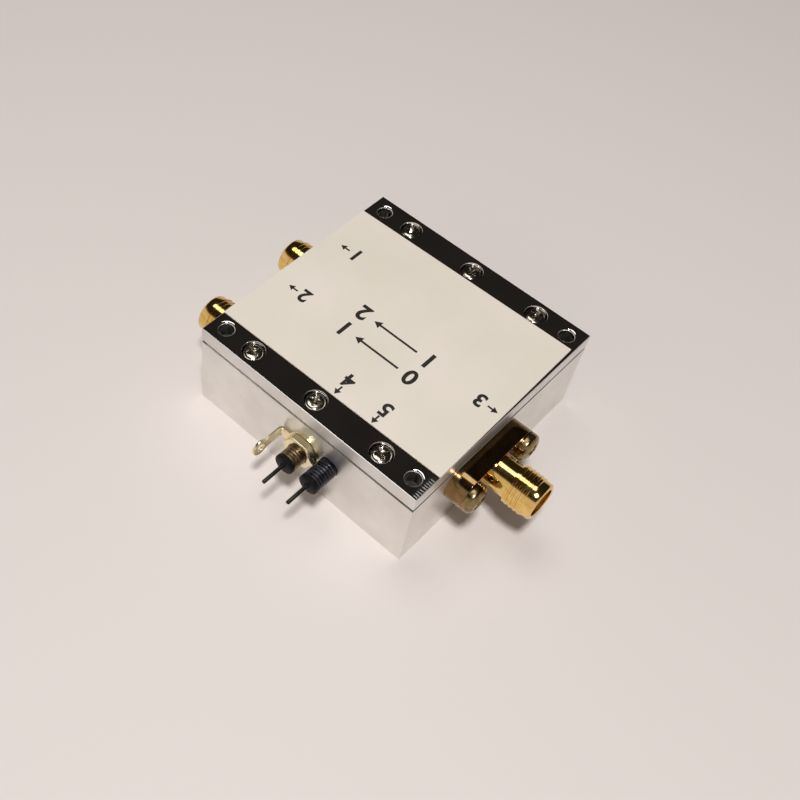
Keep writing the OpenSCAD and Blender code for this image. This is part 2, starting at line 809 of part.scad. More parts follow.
module voltage_regulator() {
    stand = 0.1;
    leg_reach = 0.6;
    leg_pitch = 0.95;
    color("#2a2a2a") on_board(regulator_place, 0, 0) union() {
        translate([-regulator_l / 2, -regulator_w / 2, stand])
            cube([regulator_l, regulator_w, regulator_h - stand]);
        for (i = [-1, 1])
            translate([i * leg_pitch, regulator_w / 2 - cut, 0]) rotate([0, 0, 90])
                gull_leg(leg_reach, regulator_h / 2, 0.4);
        translate([0, -regulator_w / 2 + cut, 0]) rotate([0, 0, -90])
            gull_leg(leg_reach, regulator_h / 2, 0.4);
    }
}

module blocking_capacitors() {
    color("peru") {
        on_board([common_cap_x, port_y], 0, track_t) chip_part(capacitor_h);
        on_board([line_cap_x, port_1_y], 0, track_t) chip_part(capacitor_h);
        on_board([line_cap_x, port_2_y], 0, track_t) chip_part(capacitor_h);
    }
}

module bypass_capacitors() {
    color("burlywood") for (p = bypass_places)
        on_board(p, 90, 0) chip_part(capacitor_h);
}

module bias_resistors() {
    color("dimgray") for (p = resistor_places)
        on_board(p, 90, 0) chip_part(resistor_h);
}

module supply_choke() {
    foot_h = 0.3;
    color("#3a3a3a") on_board(choke_place, 0, 0) union() {
        translate([-choke_w / 2, -choke_w / 2, 0]) cube([choke_w, choke_w, foot_h]);
        cylinder(d = choke_w * 0.7, h = choke_h);
        translate([0, 0, choke_h - foot_h]) cylinder(d = choke_w, h = foot_h);
    }
}

housing_body();
lid();
lid_label();
lid_screws();
common_jack_body();
common_jack_insulator();
common_jack_contact();
common_jack_screws();
port_1_jack_body();
port_1_jack_insulator();
port_1_jack_contact();
port_2_jack_body();
port_2_jack_insulator();
port_2_jack_contact();
supply_feedthrough_body();
supply_feedthrough_seal();
supply_feedthrough_pin();
supply_feedthrough_nut();
ground_lug();
control_feedthrough_body();
control_feedthrough_seal();
control_feedthrough_pin();
supply_lead();
control_lead();
circuit_board();
board_tracks();
board_screws();
rf_switch_chip();
driver_chip();
voltage_regulator();
blocking_capacitors();
bypass_capacitors();
bias_resistors();
supply_choke();
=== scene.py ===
import math

import bmesh
import bpy
from mathutils import Matrix, Quaternion, Vector


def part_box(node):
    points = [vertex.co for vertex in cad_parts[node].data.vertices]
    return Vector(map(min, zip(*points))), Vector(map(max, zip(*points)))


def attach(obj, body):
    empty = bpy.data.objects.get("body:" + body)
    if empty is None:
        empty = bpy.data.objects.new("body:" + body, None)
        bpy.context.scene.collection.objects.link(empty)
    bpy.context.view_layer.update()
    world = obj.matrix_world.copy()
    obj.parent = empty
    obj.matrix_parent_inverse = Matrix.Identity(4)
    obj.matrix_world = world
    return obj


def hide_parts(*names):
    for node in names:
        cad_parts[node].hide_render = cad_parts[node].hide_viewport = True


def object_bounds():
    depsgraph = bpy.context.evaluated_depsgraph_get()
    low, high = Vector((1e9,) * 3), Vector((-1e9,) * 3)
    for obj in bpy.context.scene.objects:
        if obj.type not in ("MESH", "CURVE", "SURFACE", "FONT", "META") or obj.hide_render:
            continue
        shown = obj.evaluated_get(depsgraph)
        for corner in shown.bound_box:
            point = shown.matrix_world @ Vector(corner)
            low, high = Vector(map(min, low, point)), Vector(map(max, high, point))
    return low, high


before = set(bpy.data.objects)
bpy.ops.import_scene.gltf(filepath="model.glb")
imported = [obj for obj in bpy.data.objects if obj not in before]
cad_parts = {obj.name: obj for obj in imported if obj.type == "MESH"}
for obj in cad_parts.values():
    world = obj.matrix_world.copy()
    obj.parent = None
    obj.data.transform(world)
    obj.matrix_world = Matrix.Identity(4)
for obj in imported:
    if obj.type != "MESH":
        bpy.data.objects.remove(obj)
cad_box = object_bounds()


# Camera
# It stands above the common jack's end on the feedthrough side, 16 cm away, and looks down at
# the lid. Its place, turn and lens were fitted to the edges of the box in the photograph, which
# seems to be cut from the side of a larger picture, hence the shift.

MM = 0.001
azimuth, elevation, roll = (math.radians(angle) for angle in (40.724, 53.224, 4.376))
aim = Vector((-9.095, -15.733, 8)) * MM
stand_off = 156.37
back = Vector((
    math.sin(azimuth) * math.cos(elevation),
    -math.cos(azimuth) * math.cos(elevation),
    math.sin(elevation),
))
camera_data = bpy.data.cameras.new("camera")
camera_data.sensor_width = 36
camera_data.lens = 47.822
camera_data.shift_x = 0.1571
camera_data.shift_y = -0.0135
camera_data.clip_start = 5 * MM
camera_data.clip_end = 10
camera = bpy.data.objects.new("camera", camera_data)
camera.rotation_mode = "QUATERNION"
camera.rotation_quaternion = (-back).to_track_quat("-Z", "Y") @ Quaternion((0, 0, 1), roll)
camera.location = aim + back * stand_off * MM
bpy.context.scene.collection.objects.link(camera)
bpy.context.scene.camera = camera
bpy.context.scene.view_settings.view_transform = "Standard"


# Housing
# One block of aluminium, milled out from above into an open box with posts for the board, its
# walls skimmed with a fine cutter and its edges eased. A groove undercuts its rim, and stays
# dark as the seam below the lid.

# The outer faces of the four walls stand this far off the middle.
wall_at = 20 * MM


def linear(hex_colour):
    """An sRGB hex colour as the linear RGBA that a socket takes."""
    shares = [int(hex_colour[i:i + 2], 16) / 255 for i in (0, 2, 4)]
    return [c / 12.92 if c <= 0.04045 else ((c + 0.055) / 1.055) ** 2.4 for c in shares] + [1]


def add_node(tree, kind, inputs=None, **settings):
    """Adds a node. Each input is given a value, or the output of another node."""
    node = tree.nodes.new("ShaderNode" + kind)
    for name, value in settings.items():
        setattr(node, name, value)
    for name, value in (inputs or {}).items():
        if isinstance(value, bpy.types.NodeSocket):
            tree.links.new(value, node.inputs[name])
        else:
            node.inputs[name].default_value = value
    return node


def new_material(name, metallic, roughness):
    """A material with its shader, and with the piece's own coordinates in metres."""
    material = bpy.data.materials.new(name)
    material.use_nodes = True
    tree = material.node_tree
    shader = tree.nodes["Principled BSDF"]
    shader.inputs["Metallic"].default_value = metallic
    shader.inputs["Roughness"].default_value = roughness
    place = add_node(tree, "TexCoord").outputs["Object"]
    return material, tree, shader, place


def mottle(tree, shader, place, size_mm, light, dark, roughness=None):
    """Lets the colour drift between two tones over patches of that size. Where a range of
    roughness is given, the surface dulls and brightens with them."""
    patches = add_node(tree, "TexNoise", {
        "Vector": place, "Scale": 1 / (size_mm * MM), "Detail": 4,
    })
    colour = add_node(tree, "ValToRGB", {"Fac": patches.outputs["Fac"]})
    for stop, edge, tone in zip(colour.color_ramp.elements, (0.35, 0.65), (dark, light)):
        stop.position = edge
        stop.color = linear(tone)
    tree.links.new(colour.outputs["Color"], shader.inputs["Base Color"])
    if roughness:
        spread = add_node(tree, "MapRange", {
            "Value": patches.outputs["Fac"], "From Min": 0.3, "From Max": 0.7,
            "To Min": roughness[0], "To Max": roughness[1],
        })
        tree.links.new(spread.outputs["Result"], shader.inputs["Roughness"])


def grain(tree, shader, place, run_mm, width_mm, depth_mm):
    """Raises the surface in fine marks of that length along X, that width and that depth."""
    across = 1 / (width_mm * MM)
    stretched = add_node(tree, "Mapping", {
        "Vector": place, "Scale": (1 / (run_mm * MM), across, across),
    })
    marks = add_node(tree, "TexNoise", {
        "Vector": stretched.outputs["Vector"], "Scale": 1, "Detail": 2,
    })
    relief = add_node(tree, "Bump", {
        "Height": marks.outputs["Fac"], "Strength": 1, "Distance": depth_mm * MM,
    })
    tree.links.new(relief.outputs["Normal"], shader.inputs["Normal"])


def milled_aluminium(name, light, dark, roughness):
    """Skimmed aluminium, with faint smears and fine cutter marks. The marks are drawn 0.15 mm
    apart, coarser than they are, so that they show."""
    material, tree, shader, place = new_material(name, metallic=1, roughness=roughness[0])
    mottle(tree, shader, place, 6, light, dark, roughness)
    grain(tree, shader, place, run_mm=12, width_mm=0.15, depth_mm=0.0005)
    return material, tree, shader, place


def add_piece(name, mesh, material, body, slot, *nodes):
    """Puts a finished mesh in the scene, on its body, in place of its CAD nodes."""
    piece = bpy.data.objects.new(name, mesh)
    bpy.context.scene.collection.objects.link(piece)
    mesh.materials.clear()
    mesh.materials.append(material)
    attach(piece, body)
    if nodes:
        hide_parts(*nodes)


def eased(node, ease_mm, segments=3):
    """A copy of a CAD node's mesh, with its triangles joined into whole faces and its sharp
    edges rounded off to that width."""
    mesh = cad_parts[node].data.copy()
    solid = bmesh.new()
    solid.from_mesh(mesh)
    bmesh.ops.remove_doubles(solid, verts=solid.verts, dist=0.001 * MM)
    bmesh.ops.dissolve_limit(
        solid, angle_limit=math.radians(0.5), verts=solid.verts, edges=solid.edges)
    solid.to_mesh(mesh)
    solid.free()
    return rounded(mesh, ease_mm, segments)


def rounded(mesh, ease_mm, segments=3):
    """Rounds off the edges sharper than 30 degrees, with flat faces kept flat."""
    mesh.shade_smooth()
    return modified(mesh, ("BEVEL", {
        "width": ease_mm * MM, "segments": segments, "limit_method": "ANGLE",
        "angle_limit": math.radians(30), "miter_outer": "MITER_ARC",
    }), ("WEIGHTED_NORMAL", {}))


def modified(mesh, *steps):
    """The mesh after a row of modifiers, each given as its kind and its settings."""
    blank = bpy.data.objects.new("blank", mesh)
    bpy.context.scene.collection.objects.link(blank)
    for kind, settings in steps:
        modifier = blank.modifiers.new(kind, kind)
        for name, value in settings.items():
            setattr(modifier, name, value)
    bpy.context.view_layer.update()
    graph = bpy.context.evaluated_depsgraph_get()
    shaped = bpy.data.meshes.new_from_object(blank.evaluated_get(graph))
    bpy.data.objects.remove(blank)
    return shaped


def smooth(mesh):
    """Shades a mesh smooth, with edges sharper than 35 degrees kept crisp."""
    mesh.shade_smooth()
    mesh.set_sharp_from_angle(angle=math.radians(35))


def carved(mesh, tools):
    """The mesh with each tool's shape cut out of it."""
    cutters = []
    for tool in tools:
        cutter = bpy.data.objects.new("cutter", tool)
        bpy.context.scene.collection.objects.link(cutter)
        cutters.append(cutter)
    cuts = [
        ("BOOLEAN", {"object": cutter, "operation": "DIFFERENCE", "solver": "EXACT"})
        for cutter in cutters]
    shaped = modified(mesh, *cuts)
    for cutter in cutters:
        bpy.data.objects.remove(cutter)
    smooth(shaped)
    return modified(shaped, ("WEIGHTED_NORMAL", {"keep_sharp": True}))


def turned(rows, around=64, ring=False):
    """A piece turned on a lathe along +Z. Each row is a height and a radius, and both may depend
    on the angle. A ring's last row joins its first; otherwise both ends are capped."""
    corners = []
    for height, radius in rows:
        for i in range(around + 1):
            angle = math.tau * i / around
            r = radius(angle) if callable(radius) else radius
            z = height(angle) if callable(height) else height
            corners.append((r * math.cos(angle), r * math.sin(angle), z))
    count, wide = len(rows), around + 1
    faces = []
    for j in range(count if ring else count - 1):
        low, high = j * wide, (j + 1) % count * wide
        faces += [(low + i, low + i + 1, high + i + 1, high + i) for i in range(around)]
    if not ring:
        faces.append(tuple(reversed(range(around))))
        faces.append(tuple(range((count - 1) * wide, count * wide - 1)))
    mesh = bpy.data.meshes.new("turned")
    mesh.from_pydata(corners, [], faces)
    solid = bmesh.new()
    solid.from_mesh(mesh)
    bmesh.ops.remove_doubles(solid, verts=solid.verts, dist=0.0002 * MM)
    solid.to_mesh(mesh)
    solid.free()
    smooth(mesh)
    return mesh


def rim_ring(outline):
    """A square ring that cuts a groove round the box. Its outline is given as the depth inwards
    and the height, in millimetres."""
    rows = [(height * MM, (wall_at - depth * MM) * math.sqrt(2)) for depth, height in outline]
    ring = turned(rows, around=4, ring=True)
    ring.transform(Matrix.Rotation(math.radians(45), 4, "Z"))
    return ring


# Skimmed walls mirror the table softly: an even pale grey with faint smears.
wall_aluminium, *_ = milled_aluminium("milled_aluminium_walls", "ECEAE6", "DFDCD7", (0.36, 0.46))
seam_groove = rim_ring([(-1, 13.05), (-1, 14), (0.8, 14), (0.8, 12.25), (0.06, 13.05)])
housing_shell = carved(eased("housing_body", 0.24), [seam_groove])
add_piece("housing_shell", housing_shell, wall_aluminium, "housing", "milled_aluminium",
          "housing_body")


# Lid
# A flat aluminium plate, fly-cut on top, with round seats for the screws, four corner holes with
# rounded mouths, and a rebate below that widens the seam. Chatter marks cross the edge of its
# common end near the feedthroughs.

lid_low, lid_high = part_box("lid")
lid_middle = (lid_low + lid_high) / 2
seat_inset = 2.5 * MM
seat_row = (lid_high.y - lid_low.y) / 2 - seat_inset
seat_pitch = 12 * MM
seat_r = 1.7 * MM
shank_bore_r = 1.1 * MM
corner_r = 1.1 * MM
corner_ease = 0.4 * MM


def block(low, high):
    """A plain block between two corners."""
    mesh = bpy.data.meshes.new("block")
    shape = bmesh.new()
    bmesh.ops.create_cube(shape, size=1)
    shape.to_mesh(mesh)
    shape.free()
    mesh.transform(Matrix.Translation((low + high) / 2) @ Matrix.Diagonal((*(high - low), 1)))
    return mesh


corner_bore = [(-3 * MM, corner_r)]
for i in range(9):
    angle = math.radians(90 * i / 8)
    rise, widening = math.sin(angle) - 1, 1 - math.cos(angle)
    corner_bore.append((corner_ease * rise, corner_r + corner_ease * widening))
corner_bore.append((MM, corner_r + corner_ease))
screw_seat = [
    (-3 * MM, shank_bore_r), (-1.1 * MM, shank_bore_r), (-0.6 * MM, seat_r),
    (-0.05 * MM, seat_r), (0, seat_r + 0.06 * MM), (MM, seat_r + 0.2 * MM),
]
bores = [(i * seat_row, corner_bore) for i in (-1, 1)]
bores += [(i * seat_pitch, screw_seat) for i in (-1, 0, 1)]
lid_tools = []
for side in (-1, 1):
    for x, rows in bores:
        tool = turned(rows)
        tool.transform(Matrix.Translation(
            (lid_middle.x + x, lid_middle.y + side * seat_row, lid_high.z)))
        lid_tools.append(tool)
lid_tools.append(rim_ring([(-1, 12.2), (-1, 13.6), (0.8, 13.6), (0.8, 12.2)]))

# The plate is rounded while it is 1 mm too thick, then cut level, so its underside stays flat
# to the edge.
thick_plate = rounded(block(lid_low - Vector((0, 0, MM)), lid_high), 0.12)
under_plate = Vector((lid_high.x + MM, lid_high.y + MM, lid_low.z))
lid_tools.append(block(lid_low - Vector((2, 2, 2)) * MM, under_plate))

# A fly-cutter leaves the face a dark mirror of the room. The rounded edge and the sides, from
# half a millimetre inside the walls, are only skimmed: they spread the light and look pale.
lid_aluminium, tree, shader, place = milled_aluminium(
    "milled_aluminium_lid", "E6E4E1", "D9D6D2", (0.03, 0.05))
mirror = shader.inputs["Roughness"].links[0].from_socket
normal = add_node(tree, "TexCoord").outputs["Normal"]
upward = add_node(tree, "SeparateXYZ", {"Vector": normal}).outputs["Z"]
skimmed = add_node(tree, "MapRange", {
    "Value": upward, "From Min": 0.93, "From Max": 0.995, "To Min": 0.42, "To Max": mirror,
}).outputs["Result"]
at = add_node(tree, "SeparateXYZ", {"Vector": place}).outputs
off_x, off_y = (
    add_node(tree, "Math", {0: at[axis]}, operation="ABSOLUTE").outputs["Value"]
    for axis in ("X", "Y"))
off_middle = add_node(tree, "Math", {0: off_x, 1: off_y}, operation="MAXIMUM").outputs["Value"]
face_or_side = add_node(tree, "MapRange", {
    "Value": off_middle, "From Min": wall_at - 0.6 * MM, "From Max": wall_at - 0.5 * MM,
    "To Min": mirror, "To Max": skimmed,
}).outputs["Result"]

# The chatter is a row of dull ticks 0.45 mm apart. A wave node repeats after tau / 20 / scale.
ticks = add_node(tree, "TexWave", {
    "Vector": place, "Scale": math.tau / 20 / (0.45 * MM), "Distortion": 2.5,
}, bands_direction="Y").outputs["Fac"]
near_end = add_node(tree, "MapRange", {
    "Value": at["X"], "From Min": 18.9 * MM, "From Max": 19.3 * MM,
}).outputs["Result"]
near_side = add_node(tree, "MapRange", {
    "Value": at["Y"], "From Min": -15.2 * MM, "From Max": -16 * MM,
}).outputs["Result"]
near_corner = add_node(
    tree, "Math", {0: near_end, 1: near_side}, operation="MULTIPLY").outputs["Value"]
chatter = add_node(
    tree, "Math", {0: near_corner, 1: ticks}, operation="MULTIPLY").outputs["Value"]
lid_roughness = add_node(tree, "MapRange", {
    "Value": chatter, "To Min": face_or_side, "To Max": 0.3,
}).outputs["Result"]
tree.links.new(lid_roughness, shader.inputs["Roughness"])
add_piece("lid_plate", carved(thick_plate, lid_tools), lid_aluminium, "lid", "lid_aluminium",
          "lid")


# Label
# A pale polyester film with a satin face, stuck on the lid between the screw rows. The print is
# plain numbers: one for each port and feedthrough, and which input level joins which port.

# Satin film looks even and pale, with a soft sheen. Its grain is drawn coarse enough to show.
label_polyester, tree, shader, place = new_material(
    "satin_polyester_label", metallic=0, roughness=0.42)
shader.inputs["IOR"].default_value = 1.57
mottle(tree, shader, place, 14, "E0D6CA", "DAD1C2")
grain(tree, shader, place, run_mm=0.6, width_mm=0.6, depth_mm=0.002)
add_piece("label_film", eased("lid_label", 0.06, 2), label_polyester, "lid", "label_film",
          "lid_label")

# Dry ink is a flat near-black, a little uneven from the ribbon.
printing_ink, tree, shader, place = new_material("black_printing_ink", metallic=0, roughness=0.5)
mottle(tree, shader, place, 0.5, "241D17", "15110D")

label_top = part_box("lid_label")[1].z
ink_t = 0.02 * MM
digit_h = 2.5 * MM
level_h = 1.15 * digit_h
arrow_off_mm = 2.2


def numeral(text, height):
    """A plain number as a thin solid of that height, centred, with its top towards +Y."""
    curve = bpy.data.curves.new("number", "FONT")
    curve.body = text
    curve.extrude = ink_t / 2
    curve.offset = 0.03
    blank = bpy.data.objects.new("blank", curve)
    bpy.context.scene.collection.objects.link(blank)
    bpy.context.view_layer.update()
    graph = bpy.context.evaluated_depsgraph_get()
    mesh = bpy.data.meshes.new_from_object(blank.evaluated_get(graph))
    bpy.data.objects.remove(blank)
    low = Vector([min(v.co[i] for v in mesh.vertices) for i in range(3)])
    high = Vector([max(v.co[i] for v in mesh.vertices) for i in range(3)])
    scale = height / (high.y - low.y)
    middle = (low + high) / 2
    mesh.transform(Matrix.Diagonal((scale, scale, 1, 1)) @ Matrix.Translation(-middle))
    return mesh


def from_sheet(outline, low, high):
    """A piece cut from flat stock, between two heights. Its outline in X and Y is given
    counter-clockwise."""
    count = len(outline)
    corners = [(x, y, z) for z in (low, high) for x, y in outline]
    faces = [(i, (i + 1) % count, (i + 1) % count + count, i + count) for i in range(count)]
    faces += [tuple(reversed(range(count))), tuple(range(count, 2 * count))]
    mesh = bpy.data.meshes.new("sheet")
    mesh.from_pydata(corners, [], faces)
    return mesh


def arrow(length, width):
    """A plain arrow along +X as a thin solid, centred, with a shaft a quarter as wide as its
    head."""
    half, shaft, neck = length / 2, width / 8, length / 2 - width * 0.8
    outline = [
        (-half, -shaft), (neck, -shaft), (neck, -width / 2), (half, 0), (neck, width / 2),
        (neck, shaft), (-half, shaft),
    ]
    return from_sheet(outline, -ink_t / 2, ink_t / 2)


def merged(parts):
    """One mesh from several, each with its place as a matrix."""
    whole = bmesh.new()
    for mesh, place in parts:
        moved = mesh.copy()
        moved.transform(place)
        whole.from_mesh(moved)
    mesh = bpy.data.meshes.new("merged")
    whole.to_mesh(mesh)
    whole.free()
    return mesh


def spun(place, turn):
    """A place with a turn about +Z, in degrees."""
    return Matrix.Translation(place) @ Matrix.Rotation(math.radians(turn), 4, "Z")


def on_label(x_mm, y_mm, turn=180):
    """A place on the label's face. The print is read from the far side, so its tops point to
    -Y."""
    return spun((x_mm * MM, y_mm * MM, label_top + ink_t / 2), turn)


print_parts = []
for text, x_mm, y_mm, pointing in (
        ("1", -14.2, 6.9, 180), ("2", -14.0, -4.9, 180), ("3", 15.9, -1.2, 0),
        ("4", 1.1, -11.9, -90), ("5", 7.9, -11.9, -90)):
    print_parts.append((numeral(text, digit_h), on_label(x_mm, y_mm)))
    off = Matrix.Rotation(math.radians(pointing), 4, "Z") @ Vector((arrow_off_mm, 0, 0))
    at_arrow = on_label(x_mm + off.x, y_mm + off.y, pointing)
    print_parts.append((arrow(1.7 * MM, 1.1 * MM), at_arrow))
for y_mm, level, port in ((-5.2, "0", "1"), (-1.0, "1", "2")):
    print_parts.append((numeral(level, level_h), on_label(6.6, y_mm)))
    print_parts.append((arrow(8 * MM, 1.4 * MM), on_label(0.4, y_mm)))
    print_parts.append((numeral(port, level_h), on_label(-5.8, y_mm)))
add_piece("label_numbers", merged(print_parts), printing_ink, "lid", None)


# Lid screws
# Six small machine screws of nickel-plated steel, with low domed heads and cross recesses. They
# sit in the lid's seats with their crowns just below its face, and hold it to the housing.

# Bright nickel mirrors the lamps and the room, with a slight waviness.
nickel_plate, tree, shader, place = new_material("bright_nickel_plate", metallic=1, roughness=0.2)
mottle(tree, shader, place, 1.2, "CBC4B6", "B3AB9C", (0.12, 0.18))
grain(tree, shader, place, run_mm=0.3, width_mm=0.3, depth_mm=0.0008)

screw_low, screw_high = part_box("lid_screws")
head_r = 1.52 * MM
flat_r = 0.75 * MM
head_rim = -0.42 * MM
head_dome = 0.37 * MM


def thread(low, high, radius, pitch, depth):
    """Rows of a right-hand outside thread between two heights. Its flanks stand 60 degrees apart,
    and it fades out at both ends."""
    def row(place, cut):
        def height(angle):
            return min(max(low + (place + angle / math.tau) * pitch, low), high)

        def radius_at(angle):
            room = min(height(angle) - low, high - height(angle))
            return radius - max(cut, depth - room)
        return height, radius_at
    crest = 0.3
    flank = depth * math.tan(math.radians(30)) / pitch
    outline = ((0, 0), (crest, 0), (crest + flank, depth), (1 - flank, depth))
    turns = range(-1, math.ceil((high - low) / pitch))
    return [row(turn + place, cut) for turn in turns for place, cut in outline]


def recess_arms(top, length, width, depth):
    """The two crossed grooves of a cross recess. Their ends slope in, and their sides nearly
    stand."""
    arms = []
    for turn in (0, 90):
        corners = []
        for height, reach, half in (
                (top + 0.1 * depth, length * 0.55, width * 0.52),
                (top - depth, length * 0.06, width * 0.25)):
            corners += [(x * reach, y * half, height)
                        for x, y in ((-1, -1), (1, -1), (1, 1), (-1, 1))]
        faces = [(0, 1, 2, 3), (7, 6, 5, 4)]
        faces += [(0, 4, 5, 1), (1, 5, 6, 2), (2, 6, 7, 3), (3, 7, 4, 0)]
        mesh = bpy.data.meshes.new("arm")
        mesh.from_pydata(corners, [], faces)
        mesh.transform(Matrix.Rotation(math.radians(turn), 4, "Z"))
        arms.append(mesh)
    return arms


def screw(head_rows, thread_d, pitch, tip, recess):
    """A screw along +Z: its head's outline from the underside up, and its shank down to the
    tip. The recess is given as its length, width and depth."""
    head = rounded(carved(turned(head_rows), recess_arms(head_rows[-1][0], *recess)), 0.1)
    shank = [(tip, thread_d * 0.3)]
    shank += thread(
        tip + 0.05 * MM, head_rows[0][0] + 0.1 * MM, thread_d / 2, pitch, 0.6 * pitch)
    return merged([(head, Matrix.Identity(4)), (turned(shank, 32), Matrix.Identity(4))])


low_dome = [(-0.95 * MM, 1.0 * MM), (-0.5 * MM, head_r - 0.06 * MM)]
for i in range(9):
    angle = math.radians(90 * i / 8)
    low_dome.append((
        head_rim + head_dome * math.sin(angle), flat_r + (head_r - flat_r) * math.cos(angle)))
lid_screw = screw(low_dome, 2 * MM, 0.4 * MM, screw_low.z - screw_high.z,
                  (2.1 * MM, 0.55 * MM, 0.55 * MM))
lid_screws = []
for i, side, turn in ((-1, -1, 65), (0, -1, 20), (1, -1, 48), (-1, 1, 25), (0, 1, 70), (1, 1, 5)):
    seat = (lid_middle.x + i * seat_pitch, lid_middle.y + side * seat_row, screw_high.z)
    lid_screws.append((lid_screw, spun(seat, turn)))
add_piece("lid_screw_set", merged(lid_screws), nickel_plate, "lid", "nickel_steel", "lid_screws")


# Common jack
# A threaded coaxial jack turned from brass and plated with gold, with a smooth neck and a
# flange that two screws hold against the end wall. A socket contact sits in its white sleeve.

# Polished gold is deep yellow with narrow bright glints. Its turning marks are drawn 0.25 mm
# wide, coarser than they are, so that they ripple the glints.
gold_plate, tree, shader, place = new_material("polished_gold_plate", metallic=1, roughness=0.16)
mottle(tree, shader, place, 1.5, "F3D288", "E5BE6C", (0.08, 0.13))
grain(tree, shader, place, run_mm=0.25, width_mm=0.25, depth_mm=0.001)

# The flange's gold is darkened to brown as painted shade, so its face shows a dark room.
shaded_flange_gold, tree, shader, place = new_material("shaded_flange_gold_plate", metallic=1, roughness=0.12)
mottle(tree, shader, place, 1.5, "937650", "846843", (0.1, 0.14))

# The real thread is cut deeper. The photograph shows it as soft, shallow ridges.
jack_thread_r = 3.175 * MM
jack_pitch = 0.7056 * MM
jack_thread_depth = 0.12 * MM
mouth_r = 2.3 * MM
mouth_depth = 1.9 * MM
bore_r = 2.07 * MM
ring_l = 1.3 * MM
ring_r = 2.95 * MM
flange_t = 3 * MM
flange_h = 6 * MM
flange_pitch = 12.2 * MM
neck_hole_r = 2.65 * MM
screw_hole_r = 1.3 * MM
neck_r = 2.7 * MM
neck_end = 6 * MM


def jack_barrel(base, shank_r, thread_from, reach):
    """A jack's turned barrel along +Z: shank, thread, plain mouth ring with a chamfer, and
    bore."""
    ring_from = reach - ring_l
    ease = 0.1 * MM
    rows = [
        (base, bore_r), (base, shank_r - ease), (base + ease, shank_r),
        (thread_from - ease, shank_r),
    ]
    rows += thread(thread_from, ring_from, jack_thread_r, jack_pitch, jack_thread_depth)
    rows += [
        (ring_from + 0.02 * MM, ring_r), (reach - 0.3 * MM, ring_r),
        (reach - 0.12 * MM, ring_r - 0.1 * MM), (reach, ring_r - 0.3 * MM),
        (reach, mouth_r + ease), (reach - ease, mouth_r),
        (reach - mouth_depth, mouth_r), (reach - mouth_depth, bore_r),
    ]
    return turned(rows, around=96, ring=True)


def facing(node, way):
    """Turns +Z to the way that a node's piece points, with z = 0 on the wall that it leaves."""
    low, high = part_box(node)
    place = (low + high) / 2
    if way == "+X":
        place.x, turn, hinge = wall_at, 90, "Y"
    elif way == "-X":
        place.x, turn, hinge = -wall_at, -90, "Y"
    else:
        place.y, turn, hinge = -wall_at, 90, "X"
    return Matrix.Translation(place) @ Matrix.Rotation(math.radians(turn), 4, hinge)


def flange_plate(length):
    """The flange, with round ends along Y, a hole for the neck and two screw holes."""
    end_r = flange_h / 2
    outline = []
    for side, start in ((1, 0), (-1, 180)):
        for i in range(33):
            angle = math.radians(start + 180 * i / 32)
            end_y = side * (length - flange_h) / 2
            outline.append((end_r * math.cos(angle), end_y + end_r * math.sin(angle)))
    drills = []
    for y, r in ((0, neck_hole_r), (flange_pitch / 2, screw_hole_r),
                 (-flange_pitch / 2, screw_hole_r)):
        drill = turned([(-flange_t, r), (2 * flange_t, r)])
        drill.transform(Matrix.Translation((0, y, 0)))
        drills.append(drill)
    return rounded(carved(from_sheet(outline, 0, flange_t), drills), 0.07, 2)


common_low, common_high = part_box("common_jack_body")
at_common = facing("common_jack_body", "+X")
common_barrel = jack_barrel(0, neck_r, neck_end, common_high.x - common_low.x)
common_barrel.transform(at_common)
add_piece("common_jack", common_barrel, gold_plate, "housing", "gold_plate", "common_jack_body")
common_flange = flange_plate(common_high.y - common_low.y)
common_flange.transform(at_common)
add_piece("common_jack_flange", common_flange, shaded_flange_gold, "housing", "gold_plate")

# PTFE lets light in a little way, so it looks milky white with soft shadows.
ptfe, tree, shader, place = new_material("turned_ptfe", metallic=0, roughness=0.45)
shader.inputs["IOR"].default_value = 1.35
shader.inputs["Subsurface Weight"].default_value = 0.2
shader.inputs["Subsurface Scale"].default_value = 0.5 * MM
mottle(tree, shader, place, 1, "F2F1EC", "E8E6DF")

# Unpolished gold over copper alloy is warm and a little reddish, with a blurred sheen.
contact_gold, tree, shader, place = new_material("gold_plated_contact", metallic=1, roughness=0.2)
mottle(tree, shader, place, 0.8, "F0C878", "DCAA5C", (0.15, 0.28))

# The two ports have the same sleeve and contact.
for name in ("common", "port_1", "port_2"):
    insulator, contact = name + "_jack_insulator", name + "_jack_contact"
    add_piece(name + "_sleeve", eased(insulator, 0.08), ptfe, "housing", "ptfe", insulator)
    add_piece(name + "_socket", eased(contact, 0.03, 2), contact_gold, "housing",
              "contact_gold", contact)


# Flange screws
# Two steel screws with domed heads and cross recesses. They go through the flange into tapped
# holes in the end wall.

# Steel tinted brownish gold, a painted reflection of the flange and painted shade; soft glints.
tinted_shaded_steel, tree, shader, place = new_material("dull_tinted_shaded_steel", metallic=1, roughness=0.25)
mottle(tree, shader, place, 0.8, "A48F66", "7C6A48", (0.18, 0.3))


def pan_head(r, h):
    """Outline of a domed head, from its underside up: an upright rim that rounds over into a
    dome."""
    rows = [(0, r - 0.05 * MM), (0.06 * MM, r), (h * 0.45, r)]
    for i in range(1, 13):
        angle = math.radians(90 * i / 12)
        dome_r = r * (0.12 + 0.88 * math.cos(angle) ** 0.75)
        rows.append((h * 0.45 + h * 0.55 * math.sin(angle), dome_r))
    return rows


flange_screw = screw(pan_head(2.25 * MM, 1.6 * MM), 2.5 * MM, 0.45 * MM, -6 * MM,
                     (2.5 * MM, 0.7 * MM, 0.9 * MM))
flange_screws = [
    (flange_screw, at_common @ spun((0, side * flange_pitch / 2, flange_t), turn))
    for side, turn in ((-1, 35), (1, 70))]
add_piece("flange_screw_set", merged(flange_screws), tinted_shaded_steel, "housing", "nickel_steel",
          "common_jack_screws")


